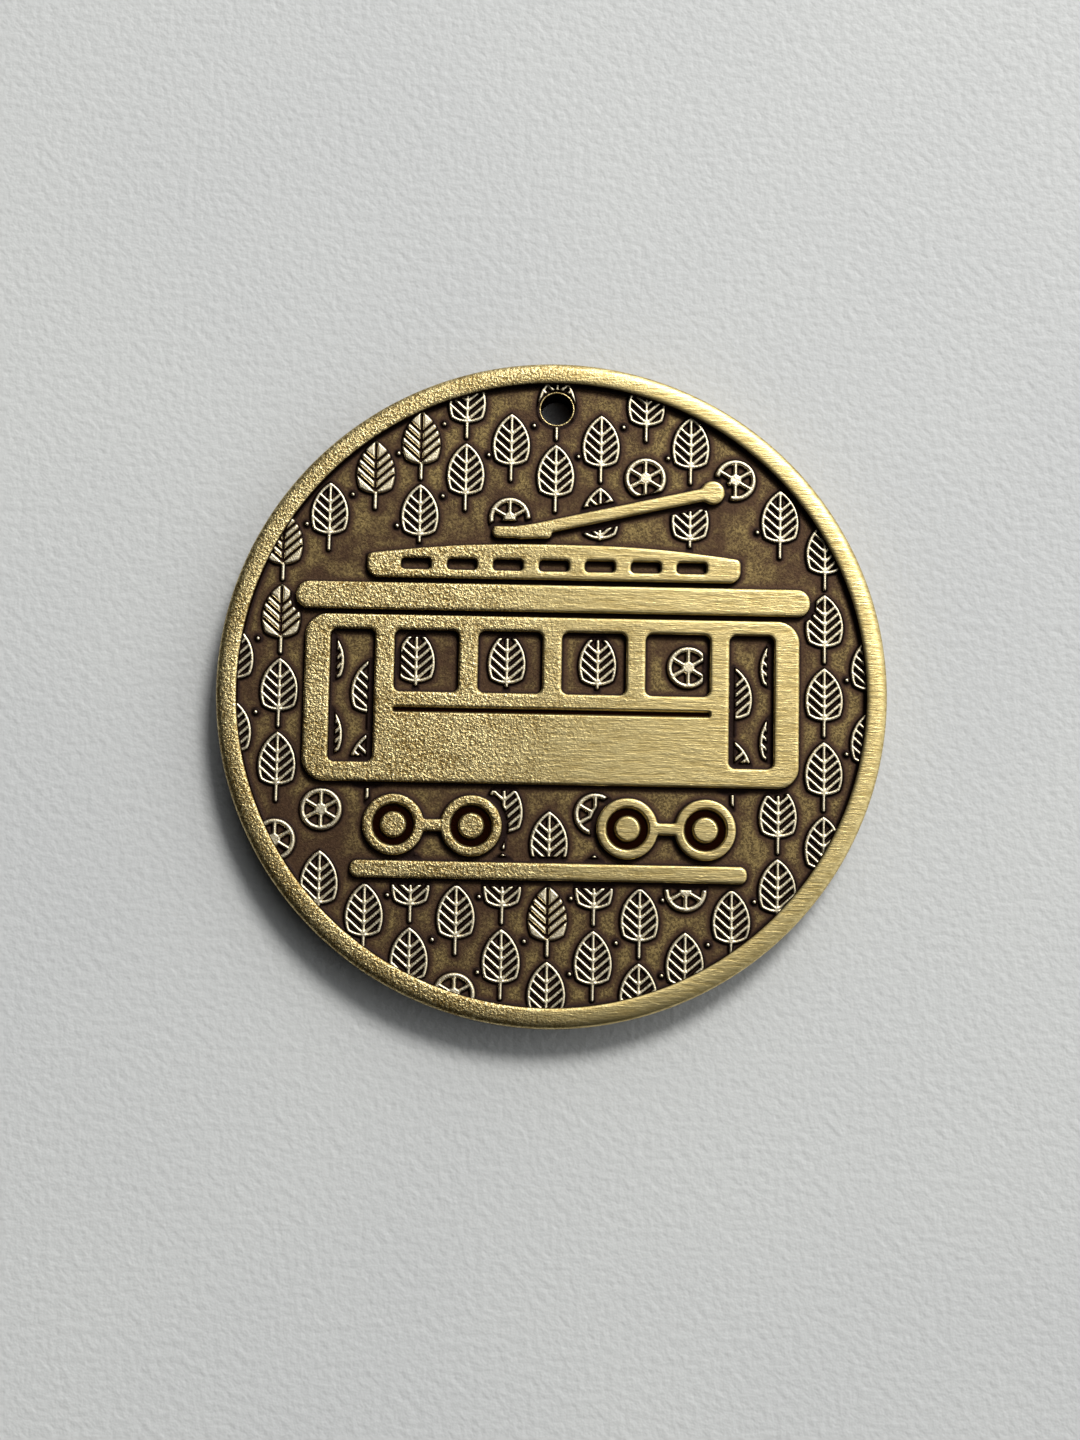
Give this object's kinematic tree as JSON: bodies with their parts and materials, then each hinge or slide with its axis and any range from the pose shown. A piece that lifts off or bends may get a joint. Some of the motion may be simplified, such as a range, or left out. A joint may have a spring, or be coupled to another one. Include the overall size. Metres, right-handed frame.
{
  "type": "transit token",
  "caption": "Round struck antique-brass token with a raised rim, a hanging hole near the rim, a flat-topped streetcar emblem and a sunk field of small leaf and wheel relief.",
  "frame": {"origin": "centre of the flat underside, on the axis of the disc", "axes": "+Z out of the decorated face, +Y towards the hanging hole, +X to the right when the face is seen with the hole at the top"},
  "size_m": [0.045, 0.045, 0.0032],
  "materials": {
    "satin_brass": "sand-blasted satin, lightly brushed to the right",
    "relief_brass": "worn bright on the ridge tops, dark in the corners",
    "patina_brass": "fine-grained dark antique patina, wiped lighter in open areas; satin on the edge and back"
  },
  "bodies": {
    "root": {"blank": "patina_brass", "raised_rim": "satin_brass", "car_body": "satin_brass", "car_roof": "satin_brass", "roof_deck": "satin_brass", "trolley_pole": "satin_brass", "front_truck": "satin_brass", "rear_truck": "satin_brass", "rail": "satin_brass", "fine_leaves": "relief_brass", "bold_leaves": "relief_brass", "small_wheels": "relief_brass", "pellets": "relief_brass"}
  },
  "joints": []
}
